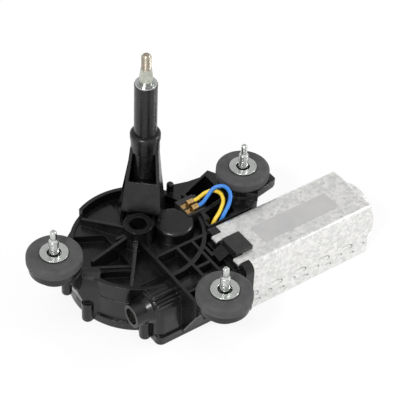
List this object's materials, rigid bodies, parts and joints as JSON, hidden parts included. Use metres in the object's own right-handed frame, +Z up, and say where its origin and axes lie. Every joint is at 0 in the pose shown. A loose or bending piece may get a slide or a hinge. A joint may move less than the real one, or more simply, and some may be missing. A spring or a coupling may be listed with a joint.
{
  "type": "wiper motor",
  "caption": "Rear wiper motor: sheet-metal can, ribbed drum gearbox with a tall spindle tower, and rubber-mounted studs on its arms.",
  "frame": {"origin": "on the spindle axis, in the plane that the bottom cover and the can stand on", "axes": "+Z up along the spindle towards its threaded tip, +X along the motor from the gearbox to the can's end boss, +Y to the side away from the motor"},
  "size_m": [0.217, 0.1434, 0.157],
  "materials": {
    "black_nylon": "moulded glass-filled nylon, semi-gloss",
    "cover_plastic": "moulded, fine grain",
    "grey_rubber": "moulded vulcanised rubber, dull",
    "zinc_steel": "zinc plated",
    "spindle_steel": "ground, zinc plated",
    "galvanised": "spangled galvanised sheet",
    "bright_steel": "ground",
    "bronze": "sintered",
    "brass": "stamped",
    "acetal": "moulded",
    "dark_plastic": "moulded",
    "copper": "enamelled wire",
    "lamination": "stacked sheets",
    "ferrite": "sintered",
    "carbon": "pressed carbon",
    "seal_rubber": "dull",
    "lead_yellow": "insulation",
    "lead_blue": "insulation",
    "board": "paper laminate"
  },
  "bodies": {
    "housing": {"gear_housing": "black_nylon", "drum_top": "black_nylon", "housing_tower": "black_nylon", "arm_left": "black_nylon", "arm_right": "black_nylon", "arm_front": "black_nylon", "bottom_cover": "cover_plastic", "cover_seal": "seal_rubber", "cover_screws": "zinc_steel", "grommet_left": "grey_rubber", "grommet_right": "grey_rubber", "grommet_front": "grey_rubber", "mount_sleeve_left": "zinc_steel", "mount_sleeve_right": "zinc_steel", "mount_sleeve_front": "zinc_steel", "mount_stud_left": "zinc_steel", "mount_stud_right": "zinc_steel", "mount_stud_front": "zinc_steel", "spindle_bush_upper": "bronze", "spindle_bush_lower": "bronze", "spindle_washer": "zinc_steel", "wheel_axle": "bright_steel", "sector_pivot": "bright_steel", "front_bearing": "bronze", "end_bush": "bronze", "thrust_plug": "dark_plastic", "magnet_upper": "ferrite", "magnet_lower": "ferrite", "yoke": "galvanised", "yoke_bush": "bronze", "brush_plate": "dark_plastic", "key_block": "dark_plastic", "brushes": "carbon", "brush_springs": "bright_steel", "contact_board": "board", "contact_springs": "brass", "terminal_holder": "dark_plastic", "terminal_yellow": "brass", "terminal_blue": "brass", "lead_yellow": "lead_yellow", "lead_blue": "lead_blue"},
    "spindle": {"spindle": "spindle_steel", "spindle_pinion": "bright_steel", "spindle_circlip": "bright_steel"},
    "wheel": {"worm_wheel": "acetal", "park_contact_ring": "brass", "crank_pin": "bright_steel"},
    "rod": {"connecting_rod": "bright_steel", "rod_pin": "bright_steel"},
    "sector": {"sector_gear": "bright_steel"},
    "armature": {"armature_shaft": "bright_steel", "worm": "bright_steel", "armature_core": "lamination", "armature_windings": "copper", "commutator": "copper"}
  },
  "joints": [
    {"name": "spindle_swing", "type": "hinge", "parent": "housing", "child": "spindle", "pos_m": [0, 0, 0.1], "axis": [0, 0, 1], "range_deg": [0, 125]},
    {"name": "sector_swing", "type": "hinge", "parent": "housing", "child": "sector", "pos_m": [0.0054, -0.0248, 0.02845], "axis": [0, 0, 1], "range_deg": [-50, 0]},
    {"name": "armature_spin", "type": "hinge", "parent": "housing", "child": "armature", "pos_m": [0.06, -0.061, 0.021], "axis": [1, 0, 0], "continuous": true},
    {"name": "wheel_spin", "type": "hinge", "parent": "housing", "child": "wheel", "pos_m": [-0.018, -0.02, 0.021], "axis": [0, 0, 1], "continuous": true},
    {"name": "rod_swing", "type": "hinge", "parent": "wheel", "child": "rod", "pos_m": [-0.01368, -0.02576, 0.0252], "axis": [0, 0, 1], "continuous": true}
  ],
  "couplings": [
    {"joint": "sector_swing", "follows": "spindle_swing", "ratio": -0.4},
    {"joint": "wheel_spin", "follows": "armature_spin", "ratio": -0.016667},
    {"joint": "rod_swing", "follows": "armature_spin", "ratio": 0.016667}
  ]
}
